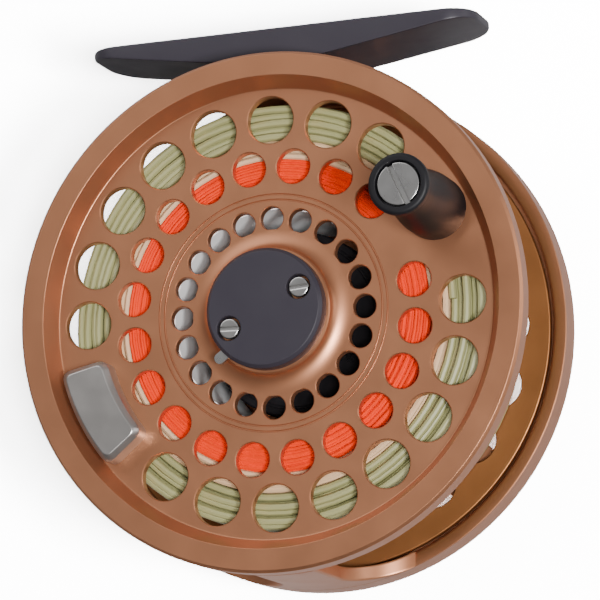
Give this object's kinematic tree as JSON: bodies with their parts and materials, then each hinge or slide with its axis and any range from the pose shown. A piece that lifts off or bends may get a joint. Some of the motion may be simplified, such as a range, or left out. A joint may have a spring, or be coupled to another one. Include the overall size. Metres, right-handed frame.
{
  "type": "fly reel",
  "caption": "Large-arbour fly reel with drilled spool, palming rim, handle, counterweight, wound line, disc drag and reel foot.",
  "frame": {"origin": "centre of the flat seat face on top of the reel foot", "axes": "+Z out of the seat face, away from the spool; Y along the spool's axis, with the handle towards -Y; X along the foot"},
  "size_m": [0.0762, 0.0542, 0.082],
  "materials": {
    "bronze": "satin bronze anodised",
    "black": "satin black anodised",
    "aluminium": "natural machined",
    "steel": "turned stainless steel",
    "weight_steel": "satin grey steel",
    "bronze_bush": "bearing bronze",
    "friction": "carbon friction disc",
    "backing": "braided orange backing",
    "running_line": "tan coated line",
    "fly_line": "olive coated line",
    "black_plastic": "satin black"
  },
  "bodies": {
    "frame": {"frame": "bronze", "reel_foot": "black", "foot_screws": "steel", "spindle": "steel", "spindle_nut": "steel", "drag_housing": "black", "housing_screws": "steel", "pawl_post": "steel", "pawl_spring": "steel", "retaining_screw": "steel"},
    "drive_hub": {"drive_hub": "aluminium", "hub_bearings": "steel", "click_gear": "bronze_bush", "drag_disc": "friction"},
    "spool": {"spool_face": "bronze", "spool_drum": "aluminium", "spool_rear_flange": "bronze", "spool_bushes": "bronze_bush", "counterweight": "weight_steel", "counterweight_screws": "steel", "backing_line": "backing", "running_line": "running_line", "fly_line": "fly_line", "latch_cap": "black", "cap_screws": "steel", "latch_spring": "steel", "handle_post": "steel", "handle_washer": "black_plastic"},
    "handle_knob": {"handle_knob": "black_plastic"},
    "latch_lever": {"latch_lever": "steel"},
    "click_pawl": {"click_pawl": "steel"},
    "pressure_plate": {"pressure_plate": "aluminium", "spring_washers": "steel", "thrust_ring": "steel", "thrust_pins": "steel"},
    "drag_knob": {"drag_knob": "bronze"}
  },
  "joints": [
    {"name": "hub_spin", "type": "hinge", "parent": "frame", "child": "drive_hub", "pos_m": [0, -0.01265, -0.04385], "axis": [0, 1, 0], "continuous": true},
    {"name": "spool_release", "type": "slide", "parent": "drive_hub", "child": "spool", "axis": [0, -1, 0], "range_m": [0, 0.034], "deforming": ["latch_spring"]},
    {"name": "handle_spin", "type": "hinge", "parent": "spool", "child": "handle_knob", "pos_m": [0.02566, -0.01265, -0.03145], "axis": [0, 1, 0], "continuous": true},
    {"name": "latch_press", "type": "slide", "parent": "spool", "child": "latch_lever", "axis": [0.8132, 0, 0.5819], "range_m": [0, 0.001], "stiffness_N_per_m": 300, "deforming": ["latch_spring"]},
    {"name": "pawl_lift", "type": "hinge", "parent": "frame", "child": "click_pawl", "pos_m": [0.00818, -0.01265, -0.04943], "axis": [0, 1, 0], "range_deg": [0, 14], "stiffness_Nm_per_rad": 0.004, "deforming": ["pawl_spring"]},
    {"name": "drag_turn", "type": "hinge", "parent": "frame", "child": "drag_knob", "pos_m": [0, -0.01265, -0.04385], "axis": [0, 1, 0], "range_deg": [0, 100]},
    {"name": "plate_press", "type": "slide", "parent": "frame", "child": "pressure_plate", "axis": [0, -1, 0], "range_m": [0, 0.0005]}
  ],
  "couplings": [
    {"joint": "drag_turn", "follows": "plate_press", "rad_per_m": 3483.7}
  ]
}
